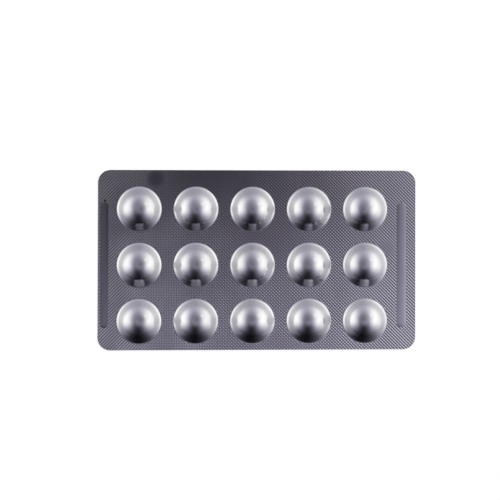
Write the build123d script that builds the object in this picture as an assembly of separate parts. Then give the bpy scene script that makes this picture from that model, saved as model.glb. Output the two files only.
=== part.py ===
from build123d import *
import os
from math import cos, radians, sin, tan

# Pill blister pack: round dome cavities cold-formed in a foil tray, closed by a flat lidding foil.
# The foils are sealed together over the whole web, so the pack is one closed body.
# Millimetres. +X runs along the long side, +Y across it, and +Z up through the domes.
# The origin is the middle of the flat lid side, which the pack lies on.

# Outline and web
PACK_LENGTH = 102.4
PACK_WIDTH = 57.8
CORNER_RADIUS = 4.0
WEB_THICKNESS = 0.28

# Cavity array, a little off the middle of the pack
COLUMNS = 5
ROWS = 3
COLUMN_PITCH = 18.2
ROW_PITCH = 18.0
ARRAY_X = -1.6
ARRAY_Y = -1.6

# One cavity: a ball crown, tangent to a straight flank that runs down to the web
CAVITY_RADIUS = 7.2
CROWN_RADIUS = 6.6
FLANK_SLOPE = radians(38.5)

# Stiffening beads beside the first and last column, each a shallow round-backed rib
BEAD_LENGTH = 40.4
BEAD_RISE = 0.1
LEFT_BEAD_WIDTH = 2.6
RIGHT_BEAD_WIDTH = 3.0
LEFT_BEAD_X = -49.2
RIGHT_BEAD_X = 46.7

# Heights and radii of the cavity that follow from these
CROWN_FOOT_RADIUS = CROWN_RADIUS * sin(FLANK_SLOPE)
CROWN_FOOT = WEB_THICKNESS + (CAVITY_RADIUS - CROWN_FOOT_RADIUS) * tan(FLANK_SLOPE)
CROWN_CENTRE = CROWN_FOOT - CROWN_RADIUS * cos(FLANK_SLOPE)
CAVITY_TOP = CROWN_CENTRE + CROWN_RADIUS

PART_NAME = "blister_pack"


def web():
    """The sealed sheet, with its rounded corners."""
    outline = RectangleRounded(PACK_LENGTH, PACK_WIDTH, CORNER_RADIUS)
    return extrude(outline, WEB_THICKNESS)


def cavity():
    """One formed cavity, its crown tangent to its flank, turned about its own axis."""
    apex = (0, CAVITY_TOP)
    half_slope = FLANK_SLOPE / 2
    crown_middle = (CROWN_RADIUS * sin(half_slope), CROWN_CENTRE + CROWN_RADIUS * cos(half_slope))
    crown_foot = (CROWN_FOOT_RADIUS, CROWN_FOOT)
    crown = ThreePointArc(apex, crown_middle, crown_foot)
    wall = Polyline(
        crown_foot,
        (CAVITY_RADIUS, WEB_THICKNESS),
        (CAVITY_RADIUS, 0),
        (0, 0),
        apex,
    )
    return revolve(Plane.XZ * make_face([crown, wall]), Axis.Z)


def bead(width):
    """A long rib with a circular-arc section and round ends, lying along Y."""
    half_width = width / 2
    straight = BEAD_LENGTH - width
    crest = WEB_THICKNESS + BEAD_RISE
    back_radius = (half_width**2 + BEAD_RISE**2) / (2 * BEAD_RISE)
    middle_x = half_width / 2
    middle = (middle_x, crest - back_radius + (back_radius**2 - middle_x**2) ** 0.5)
    foot = (half_width, WEB_THICKNESS)
    back = ThreePointArc((0, crest), middle, foot)
    half_section = Plane.XZ * make_face([back, Polyline(foot, (half_width, 0), (0, 0), (0, crest))])
    half_rib = Pos(0, straight / 2, 0) * extrude(half_section, straight)
    rib = half_rib + mirror(half_rib, Plane.YZ)
    round_end = revolve(half_section, Axis.Z)
    return rib + [Pos(0, side * straight / 2, 0) * round_end for side in (-1, 1)]


def blister_pack():
    """The web, with every cavity and both beads raised from it, as one solid."""
    places = Pos(ARRAY_X, ARRAY_Y) * GridLocations(COLUMN_PITCH, ROW_PITCH, COLUMNS, ROWS)
    cavities = [place * cavity() for place in places]
    left_bead = Pos(LEFT_BEAD_X, ARRAY_Y) * bead(LEFT_BEAD_WIDTH)
    right_bead = Pos(RIGHT_BEAD_X, ARRAY_Y) * bead(RIGHT_BEAD_WIDTH)
    return web() + cavities + left_bead + right_bead


os.makedirs("parts", exist_ok=True)
pack = blister_pack()
pack.label = PART_NAME
export_step(pack, f"parts/{PART_NAME}.step")
print(f"cavity depth {CAVITY_TOP - WEB_THICKNESS:.2f}, volume {pack.volume:.0f}, solids {len(pack.solids())}")
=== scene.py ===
import math

import bpy
from mathutils import Euler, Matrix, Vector


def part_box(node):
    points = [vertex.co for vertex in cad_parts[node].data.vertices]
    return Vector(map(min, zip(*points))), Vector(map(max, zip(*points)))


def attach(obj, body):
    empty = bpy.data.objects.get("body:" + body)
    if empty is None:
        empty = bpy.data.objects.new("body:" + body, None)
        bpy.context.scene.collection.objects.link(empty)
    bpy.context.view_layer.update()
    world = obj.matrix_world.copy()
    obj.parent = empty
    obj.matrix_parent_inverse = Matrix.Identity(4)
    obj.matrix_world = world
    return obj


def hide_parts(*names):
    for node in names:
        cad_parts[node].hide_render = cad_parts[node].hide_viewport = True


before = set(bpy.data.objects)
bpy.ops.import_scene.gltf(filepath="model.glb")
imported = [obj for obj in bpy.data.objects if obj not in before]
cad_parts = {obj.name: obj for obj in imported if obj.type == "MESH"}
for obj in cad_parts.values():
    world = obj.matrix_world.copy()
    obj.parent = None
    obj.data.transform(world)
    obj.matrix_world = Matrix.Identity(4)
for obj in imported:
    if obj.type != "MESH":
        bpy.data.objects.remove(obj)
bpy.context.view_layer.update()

# Pill blister pack, dome side up. Shapes are worked out in millimetres, as the pack is, and made metres
# as the last step of the node tree. The origin is the middle of the lid side, +Z through the domes.

MM = 0.001
PACK = "blister_pack"
BODY = "root"

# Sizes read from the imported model
low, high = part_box(PACK)
PACK_LENGTH = (high[0] - low[0]) / MM
PACK_WIDTH = (high[1] - low[1]) / MM

# Sheet heights, with the lidding foil below the formed one, and the outline's corners
LID_THICKNESS = 0.06
RIDGE_TOP = 0.28
CORNER_RADIUS = 4.0
CORNER_STEPS = 12

# Cavity array
COLUMNS = 5
ROWS = 3
COLUMN_PITCH = 18.2
ROW_PITCH = 18.0
ARRAY_X = -1.6
ARRAY_Y = -1.6

# Cavity profile: ball crown, flank that flares a little, root and the smooth land round it
CAVITY_RADIUS = 7.25
CROWN_RADIUS = 6.9
CROWN_SLOPE = math.radians(43)
FOOT_SLOPE = math.radians(35.5)
ROOT_RADIUS = 0.4
LAND_RADIUS = CAVITY_RADIUS + 0.2
LAND_RISE = 0.005
TURNS = 72
CROWN_STEPS = 12
FLANK_STEPS = 6
ROOT_STEPS = 8

# Heights inside each foil where its smooth shapes end
SEAT = 0.1
LID_SEAT = LID_THICKNESS / 3

# Stiffening beads: where each lies along the pack, and how wide it is
BEADS = ((-49.2, 2.6), (46.7, 3.0))
BEAD_LENGTH = 40.4
BEAD_RISE = 0.1
BEAD_STEPS = 7
BEAD_END_STEPS = 12

# Diamond knurl of the sealed web, turned 45 degrees: square pyramid pits between sharp ridges
KNURL_PITCH = 0.75
KNURL_DEPTH = 0.105
LID_KNURL_DEPTH = 0.04
KNURL_CELLS = 156
CELL_STEPS = 2
KNURL_TURN = math.radians(45)

# The pits' depth is uneven by this share, in soft patches, and grows by a factor towards the left end
DEPTH_VARIATION = 0.1
VARIATION_SCALE = 0.06
VARIATION_DETAIL = 2.0
LEFT_DEPTH = 1.75
LEFT_DEPTH_REACH = (-50, 5)

# Towards each end of the pack one family of ridges is lower: by what share of the pits' depth, and where
LEFT_LOWERED = 0.8
LEFT_LOWERED_REACH = (-48, -4)
RIGHT_LOWERED = 0.5
RIGHT_LOWERED_REACH = (8, 46)

# Places where the knurl is pressed flat, as centre and radius, and how softly it comes back
TOP_SPOT = (-32.8, 26.3, 0.6)
SIDE_SPOT = (42.5, 3.8, 0.5)
SPOT_FADE = 3.0
SPOT_DEPTH = 0.3

# Part of a noise pattern's range that its values mostly fill
NOISE_RANGE = (0.3, 0.7)

# How far the cutting shapes run past a foil, and how near two points are taken as one
CLEARANCE = 1.0
SAME_POINT = 0.001

# Edges sharper than this keep their corner in the shading
SHARP_ANGLE = math.radians(5.5)


# Plain meshes

def new_piece(name, mesh):
    """Puts a mesh in the scene as an object of the same name."""
    piece = bpy.data.objects.new(name, mesh)
    bpy.context.scene.collection.objects.link(piece)
    return piece


def skinned(name, rings):
    """A closed solid skinned over rings of points, all with the same count, from its top to its foot."""
    count = len(rings[0])
    points = [point for ring in rings for point in ring]
    faces = []
    for ring in range(len(rings) - 1):
        for i in range(count):
            j = (i + 1) % count
            upper, lower = ring * count, (ring + 1) * count
            faces.append((upper + i, lower + i, lower + j, upper + j))
    foot = (len(rings) - 1) * count
    faces.append(tuple(range(count)))
    faces.append(tuple(foot + i for i in reversed(range(count))))
    mesh = bpy.data.meshes.new(name)
    mesh.from_pydata(points, [], faces)
    mesh.update()
    return new_piece(name, mesh)


def circle(radius, height):
    turns = [2 * math.pi * i / TURNS for i in range(TURNS)]
    return [(radius * math.cos(turn), radius * math.sin(turn), height) for turn in turns]


def arc(radius, centre, slopes, steps, bulge=1):
    """Points down an arc whose slope runs between two values, leaving out the first."""
    start, end = slopes
    points = []
    for i in range(1, steps + 1):
        slope = start + (end - start) * i / steps
        across = centre[0] + bulge * radius * math.sin(slope)
        up = centre[1] + bulge * radius * math.cos(slope)
        points.append((across, up))
    return points


def cavity_profile():
    """Radii and heights down the outside of one cavity, from its crown to the edge of its land."""
    land = RIDGE_TOP + LAND_RISE
    root_centre = (CAVITY_RADIUS, land + ROOT_RADIUS)
    foot = (root_centre[0] - ROOT_RADIUS * math.sin(FOOT_SLOPE),
            root_centre[1] - ROOT_RADIUS * math.cos(FOOT_SLOPE))
    crown_foot = CROWN_RADIUS * math.sin(CROWN_SLOPE)
    flank_radius = (foot[0] - crown_foot) / (math.sin(CROWN_SLOPE) - math.sin(FOOT_SLOPE))
    flank_centre = (foot[0] + flank_radius * math.sin(FOOT_SLOPE),
                    foot[1] + flank_radius * math.cos(FOOT_SLOPE))
    crown_foot_height = flank_centre[1] - flank_radius * math.cos(CROWN_SLOPE)
    crown_centre = (0, crown_foot_height - CROWN_RADIUS * math.cos(CROWN_SLOPE))
    profile = arc(CROWN_RADIUS, crown_centre, (0, CROWN_SLOPE), CROWN_STEPS)
    profile += arc(flank_radius, flank_centre, (CROWN_SLOPE, FOOT_SLOPE), FLANK_STEPS, -1)
    profile += arc(ROOT_RADIUS, root_centre, (FOOT_SLOPE, 0), ROOT_STEPS, -1)
    profile.append((LAND_RADIUS, land))
    return profile


def cavity():
    """One formed cavity with its land, standing on a seat inside the web."""
    rings = [circle(radius, height) for radius, height in cavity_profile()]
    rings.append(circle(LAND_RADIUS, SEAT))
    return skinned("one_cavity", rings)


def lid_disc():
    """The smooth round of lidding foil that covers one cavity, unsealed and so not knurled."""
    return skinned("one_lid_disc", [circle(LAND_RADIUS, height) for height in (LID_THICKNESS, LID_SEAT)])


def bead_outline(x, offset, half_straight, height):
    """A long ring with round ends, lying along Y."""
    ring = []
    for end, start in ((1, 0), (-1, math.pi)):
        for i in range(BEAD_END_STEPS + 1):
            angle = start + math.pi * i / BEAD_END_STEPS
            y = ARRAY_Y + end * half_straight + offset * math.sin(angle)
            ring.append((x + offset * math.cos(angle), y, height))
    return ring


def bead(x, width):
    """A round-backed rib with round ends."""
    half_width = width / 2
    half_straight = BEAD_LENGTH / 2 - half_width
    back_radius = (half_width**2 + BEAD_RISE**2) / (2 * BEAD_RISE)
    crest = RIDGE_TOP + BEAD_RISE
    rings = []
    for i in range(1, BEAD_STEPS + 1):
        offset = half_width * i / BEAD_STEPS
        height = crest - back_radius + math.sqrt(back_radius**2 - offset**2)
        rings.append(bead_outline(x, offset, half_straight, height))
    rings.append(bead_outline(x, half_width, half_straight, SEAT))
    return skinned("one_bead", rings)


def lid_strip(x, width):
    """The smooth strip of lidding foil under one bead."""
    half_width = width / 2
    half_straight = BEAD_LENGTH / 2 - half_width
    rings = [bead_outline(x, half_width, half_straight, height) for height in (LID_THICKNESS, LID_SEAT)]
    return skinned("one_lid_strip", rings)


# Nodes, for the shape and for the finishes

def node(tree, kind, values=None, **settings):
    """Adds a node, with its own settings, and its sockets linked or filled by name or number."""
    made = tree.nodes.new(kind)
    for name, value in settings.items():
        setattr(made, name, value)
    for key, value in (values or {}).items():
        if isinstance(value, bpy.types.NodeSocket):
            tree.links.new(value, made.inputs[key])
        else:
            made.inputs[key].default_value = value
    return made


def maths(tree, operation, *terms):
    """One maths node's result."""
    return node(tree, "ShaderNodeMath", dict(enumerate(terms)), operation=operation).outputs[0]


def vector(tree, operation, *terms):
    """One vector node's result: a number for a length, a distance or a dot product, or else a vector."""
    made = node(tree, "ShaderNodeVectorMath", dict(enumerate(terms)), operation=operation)
    gives_number = operation in ("LENGTH", "DISTANCE", "DOT_PRODUCT")
    return made.outputs["Value" if gives_number else "Vector"]


def scaled(tree, value, factor):
    """A vector or colour times a number."""
    terms = {0: value, "Scale": factor}
    return node(tree, "ShaderNodeVectorMath", terms, operation="SCALE").outputs["Vector"]


def split(tree, place):
    """A place's X, Y and Z, by name."""
    return node(tree, "ShaderNodeSeparateXYZ", {0: place}).outputs


def joined(tree, x=0.0, y=0.0, z=0.0):
    """A place from its X, Y and Z."""
    return node(tree, "ShaderNodeCombineXYZ", {"X": x, "Y": y, "Z": z}).outputs[0]


def ramp(tree, value, start, end, low=0.0, high=1.0):
    """A value carried smoothly from one range to another, and held at its ends."""
    limits = {"Value": value, "From Min": start, "From Max": end, "To Min": low, "To Max": high}
    return node(tree, "ShaderNodeMapRange", limits, interpolation_type="SMOOTHSTEP").outputs[0]


# The node tree of the two foils

def closed(tree, sheet, drop):
    """A flat-bottomed closed solid under a sheet that faces up."""
    facing_down = node(tree, "GeometryNodeFlipFaces", {"Mesh": sheet}).outputs[0]
    extrusion = {"Mesh": facing_down, "Offset": (0, 0, -1), "Offset Scale": drop, "Individual": False}
    dropped = node(tree, "GeometryNodeExtrudeMesh", extrusion)
    both = node(tree, "GeometryNodeJoinGeometry")
    tree.links.new(dropped.outputs["Mesh"], both.inputs[0])
    tree.links.new(sheet, both.inputs[0])
    merging = {"Geometry": both.outputs[0], "Distance": SAME_POINT}
    return node(tree, "GeometryNodeMergeByDistance", merging).outputs[0]


def knurl_depth(tree, given, place):
    """How deep the pits are at a place: uneven, deeper to the left, shallow at the spots pressed flat."""
    patches = {"Vector": place, "Scale": VARIATION_SCALE, "Detail": VARIATION_DETAIL}
    uneven = node(tree, "ShaderNodeTexNoise", patches).outputs[0]
    variation = ramp(tree, uneven, *NOISE_RANGE, 1 - DEPTH_VARIATION, 1 + DEPTH_VARIATION)
    depth = maths(tree, "MULTIPLY", given["Knurl Depth"], variation)
    to_left = ramp(tree, split(tree, place)["X"], *LEFT_DEPTH_REACH, LEFT_DEPTH, 1)
    depth = maths(tree, "MULTIPLY", depth, to_left)
    for spot in ("Top Spot", "Side Spot"):
        spot_at = split(tree, given[spot])
        away = vector(tree, "DISTANCE", place, joined(tree, spot_at["X"], spot_at["Y"]))
        beyond = maths(tree, "SUBTRACT", away, spot_at["Z"])
        depth = maths(tree, "MULTIPLY", depth, ramp(tree, beyond, 0, SPOT_FADE, SPOT_DEPTH, 1))
    return depth


def knurl_share(tree, even, pitch, x):
    """How much of the pits' depth a point sinks: all in a pit's middle, and none on a full ridge."""
    along = split(tree, even)
    walls = []
    for axis in ("X", "Y"):
        count = maths(tree, "DIVIDE", along[axis], pitch)
        off_ridge = maths(tree, "SUBTRACT", count, maths(tree, "ROUND", count))
        walls.append(maths(tree, "MULTIPLY", maths(tree, "ABSOLUTE", off_ridge), CELL_STEPS))
    pit = maths(tree, "MULTIPLY", *walls)
    lowered = (ramp(tree, x, *RIGHT_LOWERED_REACH, 0, RIGHT_LOWERED),
               ramp(tree, x, *LEFT_LOWERED_REACH, LEFT_LOWERED, 0))
    share = pit
    for wall, part in zip(walls, lowered):
        share = maths(tree, "MULTIPLY_ADD", maths(tree, "SUBTRACT", wall, pit), part, share)
    return share


def knurled_sheet(tree, given):
    """A net of pyramid pits between ridges, turned 45 degrees and cut back to little more than the pack."""
    pitch = given["Knurl Pitch"]
    side = maths(tree, "MULTIPLY", pitch, given["Knurl Cells"])
    points = maths(tree, "MULTIPLY_ADD", given["Knurl Cells"], CELL_STEPS, 1)
    net = {"Size X": side, "Size Y": side, "Vertices X": points, "Vertices Y": points}
    grid = node(tree, "GeometryNodeMeshGrid", net).outputs[0]
    even = node(tree, "GeometryNodeInputPosition").outputs[0]
    rotation = {"Vector": even, "Angle": KNURL_TURN}
    turned = node(tree, "ShaderNodeVectorRotate", rotation, rotation_type="Z_AXIS").outputs[0]
    at = split(tree, turned)
    share = knurl_share(tree, even, pitch, at["X"])
    sink = maths(tree, "MULTIPLY", share, knurl_depth(tree, given, turned))
    lifted = joined(tree, at["X"], at["Y"], maths(tree, "SUBTRACT", given["Ridge Height"], sink))
    pitted = node(tree, "GeometryNodeSetPosition", {"Geometry": grid, "Position": lifted}).outputs[0]
    reached = split(tree, node(tree, "GeometryNodeInputPosition").outputs[0])
    beyond = []
    for axis, size in (("X", given["Length"]), ("Y", given["Width"])):
        reach = maths(tree, "MULTIPLY_ADD", size, 0.5, maths(tree, "MULTIPLY", pitch, 2))
        beyond.append(maths(tree, "GREATER_THAN", maths(tree, "ABSOLUTE", reached[axis]), reach))
    outside = {"Geometry": pitted, "Selection": maths(tree, "MAXIMUM", *beyond)}
    return node(tree, "GeometryNodeDeleteGeometry", outside, domain="FACE", mode="ALL").outputs[0]


def rounded_blank(tree, given, top, drop):
    """The pack's outline as a closed plate."""
    size = {"Width": given["Length"], "Height": given["Width"]}
    outline = node(tree, "GeometryNodeCurvePrimitiveQuadrilateral", size).outputs[0]
    corners = {"Curve": outline, "Count": CORNER_STEPS, "Radius": given["Corner Radius"]}
    rounded = node(tree, "GeometryNodeFilletCurve", corners, mode="POLY").outputs[0]
    filled = node(tree, "GeometryNodeFillCurve", {"Curve": rounded}, mode="NGONS").outputs[0]
    lift = {"Geometry": filled, "Translation": joined(tree, z=top)}
    return closed(tree, node(tree, "GeometryNodeTransform", lift).outputs[0], drop)


def cavity_array(tree, given):
    """One cavity's shape, repeated in columns and rows."""
    gaps = {}
    for axis, count, pitch in (("X", "Columns", "Column Pitch"), ("Y", "Rows", "Row Pitch")):
        steps = maths(tree, "SUBTRACT", given[count], 1)
        gaps["Size " + axis] = maths(tree, "MULTIPLY", given[pitch], steps)
        gaps["Vertices " + axis] = given[count]
    places = node(tree, "GeometryNodeMeshGrid", gaps).outputs[0]
    shift = {"Geometry": places, "Translation": given["Array Centre"]}
    centred = node(tree, "GeometryNodeTransform", shift).outputs[0]
    one = node(tree, "GeometryNodeObjectInfo", {"Object": given["Cavity"]}).outputs["Geometry"]
    array = node(tree, "GeometryNodeInstanceOnPoints", {"Points": centred, "Instance": one}).outputs[0]
    return node(tree, "GeometryNodeRealizeInstances", {"Geometry": array}).outputs[0]


def faces_down(tree, given, shape):
    """The shape turned over where the foil faces down, so that its ridges meet the ground."""
    lift = joined(tree, z=given["Ridge Height"])
    turning = {"Geometry": shape, "Translation": lift, "Scale": (1, 1, -1)}
    mirrored = node(tree, "GeometryNodeTransform", turning).outputs[0]
    outward = node(tree, "GeometryNodeFlipFaces", {"Mesh": mirrored}).outputs[0]
    choice = {"Switch": given["Faces Down"], "False": shape, "True": outward}
    return node(tree, "GeometryNodeSwitch", choice, input_type="GEOMETRY").outputs[0]


def shaded(tree, shape):
    """Smooth shading that keeps the ridges and rims sharp."""
    smoothing = {"Geometry": shape, "Shade Smooth": True}
    smooth = node(tree, "GeometryNodeSetShadeSmooth", smoothing, domain="FACE").outputs[0]
    angle = node(tree, "GeometryNodeInputMeshEdgeAngle").outputs["Unsigned Angle"]
    limit = {0: angle, 1: SHARP_ANGLE}
    sharp = node(tree, "FunctionNodeCompare", limit, operation="GREATER_THAN").outputs[0]
    corners = {"Geometry": smooth, "Selection": sharp, "Shade Smooth": False}
    return node(tree, "GeometryNodeSetShadeSmooth", corners, domain="EDGE").outputs[0]


INPUTS = (
    ("Length", "NodeSocketFloat"),
    ("Width", "NodeSocketFloat"),
    ("Corner Radius", "NodeSocketFloat"),
    ("Ridge Height", "NodeSocketFloat"),
    ("Thickness", "NodeSocketFloat"),
    ("Knurl Pitch", "NodeSocketFloat"),
    ("Knurl Depth", "NodeSocketFloat"),
    ("Knurl Cells", "NodeSocketInt"),
    ("Top Spot", "NodeSocketVector"),
    ("Side Spot", "NodeSocketVector"),
    ("Columns", "NodeSocketInt"),
    ("Rows", "NodeSocketInt"),
    ("Column Pitch", "NodeSocketFloat"),
    ("Row Pitch", "NodeSocketFloat"),
    ("Array Centre", "NodeSocketVector"),
    ("Cavity", "NodeSocketObject"),
    ("Left Bead", "NodeSocketObject"),
    ("Right Bead", "NodeSocketObject"),
    ("Faces Down", "NodeSocketBool"),
    ("Finish", "NodeSocketMaterial"),
)


def foil_tree():
    """A knurled foil with a smooth shape at each cavity and bead, in metres."""
    tree = bpy.data.node_groups.new("sealed_foil", "GeometryNodeTree")
    for name, kind in INPUTS:
        tree.interface.new_socket(name, in_out="INPUT", socket_type=kind)
    tree.interface.new_socket("Geometry", in_out="OUTPUT", socket_type="NodeSocketGeometry")
    given = node(tree, "NodeGroupInput").outputs

    slab = closed(tree, knurled_sheet(tree, given), CLEARANCE)
    clear_top = maths(tree, "ADD", given["Ridge Height"], CLEARANCE)
    blank = rounded_blank(tree, given, clear_top, maths(tree, "ADD", given["Thickness"], CLEARANCE))
    web = node(tree, "GeometryNodeMeshBoolean", operation="INTERSECT", solver="MANIFOLD")
    for part in (slab, blank):
        tree.links.new(part, web.inputs["Mesh 2"])

    raised = node(tree, "GeometryNodeMeshBoolean", operation="UNION", solver="MANIFOLD")
    tree.links.new(web.outputs["Mesh"], raised.inputs["Mesh 2"])
    tree.links.new(cavity_array(tree, given), raised.inputs["Mesh 2"])
    for side in ("Left Bead", "Right Bead"):
        rib = node(tree, "GeometryNodeObjectInfo", {"Object": given[side]}).outputs["Geometry"]
        tree.links.new(rib, raised.inputs["Mesh 2"])

    chosen = faces_down(tree, given, raised.outputs["Mesh"])
    metres = node(tree, "GeometryNodeTransform", {"Geometry": chosen, "Scale": (MM, MM, MM)}).outputs[0]
    real = node(tree, "GeometryNodeRealizeInstances", {"Geometry": shaded(tree, metres)}).outputs[0]
    covering = {"Geometry": real, "Material": given["Finish"]}
    finished = node(tree, "GeometryNodeSetMaterial", covering).outputs[0]
    node(tree, "NodeGroupOutput", {"Geometry": finished})
    return tree


def made_by(tree, name, inputs):
    """Runs the tree with these inputs and keeps its result as a plain mesh."""
    holder = new_piece(name, bpy.data.meshes.new(name))
    modifier = holder.modifiers.new("shape", "NODES")
    modifier.node_group = tree
    for item in tree.interface.items_tree:
        if item.name in inputs:
            modifier[item.identifier] = inputs[item.name]
    evaluated = holder.evaluated_get(bpy.context.evaluated_depsgraph_get())
    mesh = bpy.data.meshes.new_from_object(evaluated)
    holder.modifiers.remove(modifier)
    holder.data = mesh
    mesh.name = name
    return holder


# Finishes

# What each foil looks like where it is flat and on its cavities. Factors below scale a colour: the flat one
# is painted shade on the sealed web, darkest round the place that mirrors the dark camera overhead and
# brighter away from it, the left one is painted shade that darkens the left end, and the flank one darkens
# a ring of each flank.
FORMED_LOOK = {
    "flat colour": (0.95, 0.93, 1.0),
    "flat painted shade": (0.17, 1),
    "left painted shade": 0.62,
    "flat roughness": 0.12,
    "cavity colour": (0.94, 0.94, 0.95),
    "cavity roughness": 0.14,
    "flank ring darkening": 0.88,
}
LID_LOOK = {
    "flat colour": (0.84, 0.84, 0.86),
    "flat painted shade": (1, 1),
    "left painted shade": 1,
    "flat roughness": 0.30,
    "cavity colour": (0.84, 0.84, 0.86),
    "cavity roughness": 0.30,
    "flank ring darkening": 1,
}
# Painted shade on the web: where it is darkest, how distance from there is stretched, the reach over which
# the colour brightens, and the span that darkens the left end
PAINTED_SHADE_CENTRE = (-15.5, 30.4, 0)
PAINTED_SHADE_STRETCH = (0.8, 1.3, 0)
PAINTED_SHADE_REACH = (-10, 98)
LEFT_PAINTED_SHADE_REACH = (-49, -5)

# Radii between which a cavity's finish turns into the web's
CAVITY_EDGE = (CAVITY_RADIUS - 0.1, CAVITY_RADIUS + 0.2)

# The stretched ring of a flank: the radii where it starts, is full, begins to end and ends, how much
# rougher it is, and where along Y from the cavity's axis the roughness sets in, so that the front stays
# clear
FLANK_RING = (4.6, 5.4, 6.3, 6.8)
FLANK_ROUGHNESS = 0.3
FLANK_FRONT = (-5.0, -3.6)

# A black speck at the top of the left bead
SPECK = (-48.96, 19.0, 0)
SPECK_RADIUS = 0.32
SPECK_BLUR = 0.15
SPECK_COLOUR = (0.01, 0.01, 0.012, 1)

# Patterns: cycles per millimetre each way, detail, and the turn of the scratches and scuffs
ROLLING = ((0.35, 9, 9), 3.0)
HAZE = ((0.09, 0.03, 0.1), 3.0)
PEEL = ((1.8, 1.8, 1.8), 2.0)
SCRATCHES = ((0.14, 7, 0.2), 1.0, 32)
SCUFFS = ((0.2, 9, 0.2), 1.0, -58)

# Parts of the noise that show as scratches and as scuffs, and how much the haze darkens
SCRATCH_RANGE = (0.72, 0.78)
SCUFF_RANGE = (0.74, 0.80)
HAZE_SHADE = (0.9, 1.0)

# What each pattern adds to the roughness, and to the relief, whose full height is in metres
ROLLING_ROUGHNESS = 0.05
HAZE_ROUGHNESS = 0.06
PEEL_ROUGHNESS = 0.03
MARK_ROUGHNESS = 0.12
ROLLING_RELIEF = 0.5
PEEL_RELIEF = 1.0
MARK_RELIEF = -0.6
RELIEF_HEIGHT = 0.0000003


def grain(tree, place, scale, detail, turn=0.0):
    """Noise stretched by its scale in each direction, in cycles per millimetre."""
    laying = {"Vector": place, "Rotation": (0, 0, math.radians(turn)), "Scale": scale}
    laid = node(tree, "ShaderNodeMapping", laying).outputs[0]
    return node(tree, "ShaderNodeTexNoise", {"Vector": laid, "Scale": 1.0, "Detail": detail}).outputs[0]


def from_nearest_cavity(tree, place):
    """How far a place is from the axis of the nearest cavity, in all and along Y."""
    at = split(tree, place)
    away = {}
    spacing = (("X", ARRAY_X, COLUMN_PITCH, COLUMNS), ("Y", ARRAY_Y, ROW_PITCH, ROWS))
    for axis, centre, pitch, count in spacing:
        offset = maths(tree, "SUBTRACT", at[axis], centre)
        step = maths(tree, "ROUND", maths(tree, "DIVIDE", offset, pitch))
        last = (count - 1) // 2
        held = maths(tree, "MAXIMUM", maths(tree, "MINIMUM", step, last), -last)
        away[axis] = maths(tree, "MULTIPLY_ADD", held, -pitch, offset)
    return vector(tree, "LENGTH", joined(tree, away["X"], away["Y"])), away["Y"]


def blend(tree, kind, factor, first, second):
    """Two values or colours mixed by a factor."""
    result = {"FLOAT": 0, "RGBA": 2}[kind]
    mixed = node(tree, "ShaderNodeMix", data_type=kind)
    for socket, value in zip([item for item in mixed.inputs if item.enabled], (factor, first, second)):
        if isinstance(value, bpy.types.NodeSocket):
            tree.links.new(value, socket)
        else:
            socket.default_value = value
    return mixed.outputs[result]


def flat_colour(tree, place, look):
    """The sealed web's colour with painted shade: darkest round one place and brighter away from it, and
    darker to the left.
    """
    from_painted_shade_centre = vector(tree, "MULTIPLY", vector(tree, "SUBTRACT", place, PAINTED_SHADE_CENTRE), PAINTED_SHADE_STRETCH)
    sheen = ramp(tree, vector(tree, "LENGTH", from_painted_shade_centre), *PAINTED_SHADE_REACH, *look["flat painted shade"])
    # Painted shade: the web's colour is darker towards the left end.
    left_painted_shade = ramp(tree, split(tree, place)["X"], *LEFT_PAINTED_SHADE_REACH, look["left painted shade"], 1)
    return scaled(tree, look["flat colour"], maths(tree, "MULTIPLY", sheen, left_painted_shade))


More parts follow.
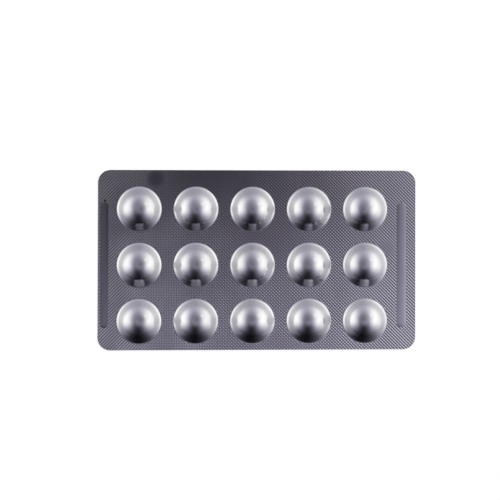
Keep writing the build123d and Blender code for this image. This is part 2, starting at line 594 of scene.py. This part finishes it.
def foil_finish(name, look):
    """Bright rolled aluminium foil: grain along X, fine scratches and haze, and its formed cavities."""
    finish = bpy.data.materials.new(name)
    finish.use_nodes = True
    tree = finish.node_tree
    shader = tree.nodes["Principled BSDF"]
    place = scaled(tree, node(tree, "ShaderNodeTexCoord").outputs["Object"], 1 / MM)

    away, along_y = from_nearest_cavity(tree, place)
    on_cavity = ramp(tree, away, *CAVITY_EDGE, 1, 0)
    rise_start, rise_end, fall_start, fall_end = FLANK_RING
    rise = ramp(tree, away, rise_start, rise_end)
    ring = maths(tree, "MULTIPLY", rise, ramp(tree, away, fall_start, fall_end, 1, 0))
    rough_ring = maths(tree, "MULTIPLY", ring, ramp(tree, along_y, *FLANK_FRONT))
    rolling = grain(tree, place, *ROLLING)
    haze = grain(tree, place, *HAZE)
    peel = grain(tree, place, *PEEL)
    scratch = ramp(tree, grain(tree, place, *SCRATCHES), *SCRATCH_RANGE)
    scuff = ramp(tree, grain(tree, place, *SCUFFS), *SCUFF_RANGE)
    marks = maths(tree, "MAXIMUM", scratch, scuff)

    # The cavity colour is darker on a ring of each flank.
    darker_flank_ring = maths(tree, "MULTIPLY_ADD", ring, look["flank ring darkening"] - 1, 1)
    formed = scaled(tree, look["cavity colour"], darker_flank_ring)
    colour = blend(tree, "RGBA", on_cavity, flat_colour(tree, place, look), formed)
    hazy = scaled(tree, colour, ramp(tree, haze, *NOISE_RANGE, *HAZE_SHADE))
    speck_away = vector(tree, "DISTANCE", place, SPECK)
    on_speck = ramp(tree, speck_away, SPECK_RADIUS, SPECK_RADIUS + SPECK_BLUR, 1, 0)
    tree.links.new(blend(tree, "RGBA", on_speck, hazy, SPECK_COLOUR), shader.inputs["Base Color"])

    rough = blend(tree, "FLOAT", on_cavity, look["flat roughness"], look["cavity roughness"])
    rough_flank = maths(tree, "MULTIPLY", rough_ring, on_cavity)
    rough = maths(tree, "MULTIPLY_ADD", rough_flank, FLANK_ROUGHNESS, rough)
    for pattern, amount in ((rolling, ROLLING_ROUGHNESS), (haze, HAZE_ROUGHNESS), (peel, PEEL_ROUGHNESS)):
        rough = maths(tree, "MULTIPLY_ADD", maths(tree, "SUBTRACT", pattern, 0.5), amount, rough)
    rough = maths(tree, "MULTIPLY_ADD", marks, MARK_ROUGHNESS, rough)
    tree.links.new(rough, shader.inputs["Roughness"])
    shader.inputs["Metallic"].default_value = 1

    relief = maths(tree, "MULTIPLY", rolling, ROLLING_RELIEF)
    relief = maths(tree, "MULTIPLY_ADD", maths(tree, "MULTIPLY", peel, on_cavity), PEEL_RELIEF, relief)
    relief = maths(tree, "MULTIPLY_ADD", marks, MARK_RELIEF, relief)
    bump = node(tree, "ShaderNodeBump", {"Height": relief, "Strength": 1.0, "Distance": RELIEF_HEIGHT})
    tree.links.new(bump.outputs["Normal"], shader.inputs["Normal"])
    return finish


# The pack

def pack():
    """Both foils, each made by the same tree, in place of the solid pack."""
    sizes = {
        "Length": PACK_LENGTH,
        "Width": PACK_WIDTH,
        "Corner Radius": CORNER_RADIUS,
        "Knurl Pitch": KNURL_PITCH,
        "Knurl Cells": KNURL_CELLS,
        "Top Spot": TOP_SPOT,
        "Side Spot": SIDE_SPOT,
        "Columns": COLUMNS,
        "Rows": ROWS,
        "Column Pitch": COLUMN_PITCH,
        "Row Pitch": ROW_PITCH,
        "Array Centre": (ARRAY_X, ARRAY_Y, 0),
    }
    tree = foil_tree()
    shapes = [bead(x, width) for x, width in BEADS] + [cavity()]
    flats = [lid_strip(x, width) for x, width in BEADS] + [lid_disc()]
    formed = made_by(tree, "formed_foil", sizes | {
        "Ridge Height": RIDGE_TOP,
        "Thickness": RIDGE_TOP - LID_THICKNESS,
        "Knurl Depth": KNURL_DEPTH,
        "Left Bead": shapes[0],
        "Right Bead": shapes[1],
        "Cavity": shapes[2],
        "Finish": foil_finish("formed_foil", FORMED_LOOK),
    })
    lid = made_by(tree, "lidding_foil", sizes | {
        "Ridge Height": LID_THICKNESS,
        "Thickness": LID_THICKNESS,
        "Knurl Depth": LID_KNURL_DEPTH,
        "Left Bead": flats[0],
        "Right Bead": flats[1],
        "Cavity": flats[2],
        "Faces Down": True,
        "Finish": foil_finish("lidding_foil", LID_LOOK),
    })
    for helper in shapes + flats:
        bpy.data.objects.remove(helper)
    for foil in (formed, lid):
        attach(foil, BODY)
        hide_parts(PACK)
        print(foil.name, sum(len(face.vertices) - 2 for face in foil.data.polygons), "triangles")


# The camera

# Its place is in millimetres, its turn in degrees, its focal length in the photograph's pixels, and its
# clip range in metres
CAMERA_PLACE = (-13.6, 28.4, 320.3)
CAMERA_TURN = (0.43, -2.22, 0.16)
SENSOR = 36
PHOTO_WIDTH = 500
FOCAL_PIXELS = 993
FRAMING_SHIFT = (-0.008, -0.1713)
CLIP_RANGE = (0.01, 10)


def camera():
    """The photograph's view, from a fit to the cavity centres and the reflections: from nearly above."""
    eye = bpy.data.cameras.new("eye")
    eye.sensor_width = SENSOR
    eye.lens = FOCAL_PIXELS * SENSOR / PHOTO_WIDTH
    eye.shift_x, eye.shift_y = FRAMING_SHIFT
    eye.clip_start, eye.clip_end = CLIP_RANGE
    view = bpy.data.objects.new("eye", eye)
    bpy.context.scene.collection.objects.link(view)
    view.location = Vector(CAMERA_PLACE) * MM
    view.rotation_euler = Euler([math.radians(angle) for angle in CAMERA_TURN])
    bpy.context.scene.camera = view


# The studio

# Broad soft lights round the pack: where each stands, in degrees from +X and above the floor, how narrow
# it is, and how bright
SOFT_LIGHTS = {
    "above": (70, 87, 15, 0.4),
    "far right": (33, 20, 5, 0.9),
    "far left": (152, 18, 7, 0.78),
    "low left": (188, 3, 9, 0.75),
    "right": (-10, 41, 11, 0.6),
    "low right": (-13, -2, 7, 0.65),
    "left": (188, 37, 13, 0.42),
    "far": (94, 15, 4, 0.3),
    "small far right": (39, 45, 120, 0.25),
    "front left": (215, 25, 10, 0.09),
    "front right": (-40, 25, 10, 0.12),
}

# Colour of the dimmest light, and the brightness at which it has turned white
DIM_TINT = (0.93, 0.87, 1.20)
WHITE = (1, 1, 1)
WHITE_LEVEL = 0.9

# The dark round front of the camera overhead, mirrored in the foil: where it hangs and its size
SHADE_CENTRE = (-6, 24, 320)
SHADE_RADIUS = 210
SHADE_COLOUR = (0.12, 0.11, 0.15, 1)

# The floor and its own lamp, in metres and watts
LAMP_HEIGHT = 0.9
LAMP_SIZE = 1.2
LAMP_POWER = 7.5
FLOOR_REACH = 2.0
FLOOR_DROP = 0.00005
FLOOR_COLOUR = (0.95, 0.95, 0.95, 1)


def square(name, centre, half):
    """A flat square that faces up."""
    x, y, z = centre
    signs = ((1, 1), (-1, 1), (-1, -1), (1, -1))
    corners = [(x + across * half, y + along * half, z) for across, along in signs]
    mesh = bpy.data.meshes.new(name)
    mesh.from_pydata(corners, [], [(0, 1, 2, 3)])
    return new_piece(name, mesh)


def surroundings():
    """A world lit by the soft lights, each fading smoothly from its middle."""
    world = bpy.data.worlds.new("studio")
    world.use_nodes = True
    tree = world.node_tree
    direction = node(tree, "ShaderNodeTexCoord").outputs["Generated"]
    total = 0.0
    for azimuth, elevation, narrowness, brightness in SOFT_LIGHTS.values():
        turn, rise = math.radians(azimuth), math.radians(elevation)
        towards = (math.cos(rise) * math.cos(turn), math.cos(rise) * math.sin(turn), math.sin(rise))
        facing = vector(tree, "DOT_PRODUCT", direction, towards)
        falling = maths(tree, "EXPONENT", maths(tree, "MULTIPLY_ADD", facing, narrowness, -narrowness))
        total = maths(tree, "MULTIPLY_ADD", falling, brightness, total)
    level = {0: total, 1: WHITE_LEVEL}
    whiteness = node(tree, "ShaderNodeMath", level, operation="DIVIDE", use_clamp=True).outputs[0]
    tints = {"Factor": whiteness, "A": DIM_TINT, "B": WHITE}
    tint = node(tree, "ShaderNodeMix", tints, data_type="VECTOR").outputs["Result"]
    background = tree.nodes["Background"]
    tree.links.new(scaled(tree, tint, total), background.inputs["Color"])
    background.inputs["Strength"].default_value = 1
    return world


def shade():
    """A dark disc that only mirror rays meet, fading out from its middle to its rim."""
    centre = [value * MM for value in SHADE_CENTRE]
    radius = SHADE_RADIUS * MM
    disc = square("overhead_shade", centre, radius)
    dark = bpy.data.materials.new("overhead_shade")
    dark.use_nodes = True
    tree = dark.node_tree
    tree.nodes.clear()
    away = vector(tree, "DISTANCE", node(tree, "ShaderNodeTexCoord").outputs["Object"], centre)
    fading = {"Value": away, "From Min": 0, "From Max": radius, "To Min": 1, "To Max": 0}
    cover = node(tree, "ShaderNodeMapRange", fading).outputs[0]
    clear = node(tree, "ShaderNodeBsdfTransparent").outputs[0]
    glow = node(tree, "ShaderNodeEmission", {"Color": SHADE_COLOUR}).outputs[0]
    mixed = node(tree, "ShaderNodeMixShader", {0: cover, 1: clear, 2: glow}).outputs[0]
    node(tree, "ShaderNodeOutputMaterial", {"Surface": mixed})
    disc.data.materials.append(dark)
    for rays in ("camera", "diffuse", "transmission", "volume_scatter", "shadow"):
        setattr(disc, "visible_" + rays, False)


def overhead_lamp():
    """A large soft lamp straight above that lights the floor, and isn't mirrored in the foil."""
    lamp = bpy.data.lights.new("overhead", "AREA")
    lamp.shape = "DISK"
    lamp.size = LAMP_SIZE
    lamp.energy = LAMP_POWER
    light = bpy.data.objects.new("overhead", lamp)
    light.location.z = LAMP_HEIGHT
    light.visible_glossy = False
    bpy.context.scene.collection.objects.link(light)


def pale_floor():
    """A plain pale floor just under the pack, which the foil doesn't mirror."""
    floor = square("floor", (0, 0, -FLOOR_DROP), FLOOR_REACH)
    pale = bpy.data.materials.new("pale_floor")
    pale.use_nodes = True
    shader = pale.node_tree.nodes["Principled BSDF"]
    shader.inputs["Base Color"].default_value = FLOOR_COLOUR
    shader.inputs["Roughness"].default_value = 1
    shader.inputs["Specular IOR Level"].default_value = 0
    floor.data.materials.append(pale)
    floor.visible_glossy = False


def studio():
    scene = bpy.context.scene
    scene.view_settings.view_transform = "Standard"
    scene.world = surroundings()
    overhead_lamp()
    shade()
    pale_floor()


pack()
camera()
studio()
